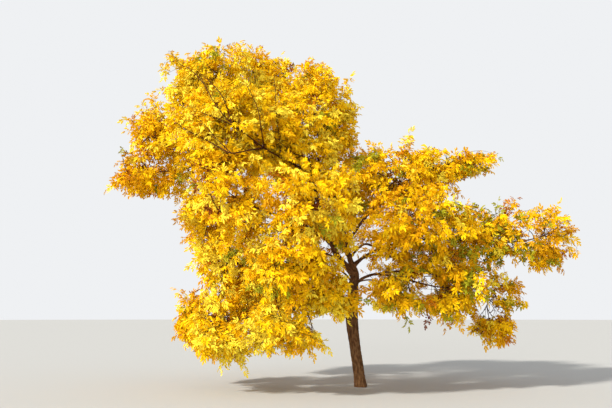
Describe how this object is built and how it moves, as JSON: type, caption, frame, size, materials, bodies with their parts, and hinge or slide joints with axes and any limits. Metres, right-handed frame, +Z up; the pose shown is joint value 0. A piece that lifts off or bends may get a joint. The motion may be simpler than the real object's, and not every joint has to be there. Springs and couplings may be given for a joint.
{
  "type": "ash-leaved maple tree",
  "caption": "Whole ash-leaved maple in golden autumn leaf: short leaning trunk, left leader, long spreading boughs and many open masses of foliage.",
  "frame": {"origin": "centre of the trunk's flat cut, at ground level", "axes": "+Z up; +X to the right and +Y away from somebody who sees the tree as the picture does"},
  "size_m": [10.8489, 8.3575, 7.9207],
  "materials": {
    "bark": "rough",
    "golden_leaf": "matte",
    "amber_leaf": "matte",
    "lemon_leaf": "matte",
    "olive_leaf": "matte"
  },
  "bodies": {
    "root": {"back_low_bough": "bark", "back_low_leaves": "golden_leaf", "back_middle_bough": "bark", "back_middle_leaves": "golden_leaf", "back_right_bough": "bark", "back_right_leaves": "amber_leaf", "far_left_bough": "bark", "far_left_leaves": "golden_leaf", "far_right_bough": "bark", "far_right_leaves": "amber_leaf", "fork_right_bough": "bark", "fork_right_leaves": "amber_leaf", "front_left_bough": "bark", "front_left_leaves": "golden_leaf", "front_low_bough": "bark", "front_low_leaves": "golden_leaf", "front_middle_bough": "bark", "front_middle_leaves": "golden_leaf", "left_back_bough": "bark", "left_back_leaves": "golden_leaf", "left_low_bough": "bark", "left_low_leaves": "lemon_leaf", "left_upper_bough": "bark", "left_upper_leaves": "golden_leaf", "low_left_bough": "bark", "low_left_leaves": "lemon_leaf", "low_left_tip_bough": "bark", "low_left_tip_leaves": "golden_leaf", "low_middle_bough": "bark", "low_middle_leaves": "lemon_leaf", "near_trunk_bough": "bark", "near_trunk_leaves": "golden_leaf", "right_far_bough": "bark", "right_far_leaves": "olive_leaf", "right_low_back_bough": "bark", "right_low_back_leaves": "amber_leaf", "right_low_bough": "bark", "right_low_far_bough": "bark", "right_low_far_leaves": "amber_leaf", "right_low_leaves": "amber_leaf", "right_middle_bough": "bark", "right_middle_leaves": "amber_leaf", "right_shoulder_leaves": "golden_leaf", "right_tip_bough": "bark", "right_tip_leaves": "golden_leaf", "right_upper_leaves": "golden_leaf", "top_bough": "bark", "top_leaves": "golden_leaf", "top_left_bough": "bark", "top_left_leaves": "golden_leaf", "top_right_leaves": "golden_leaf", "trunk": "bark", "upper_back_bough": "bark", "upper_back_leaves": "golden_leaf", "upper_front_bough": "bark", "upper_front_leaves": "golden_leaf", "upper_left_bough": "bark", "upper_left_leaves": "golden_leaf", "upper_middle_bough": "bark", "upper_middle_leaves": "golden_leaf"}
  },
  "joints": []
}
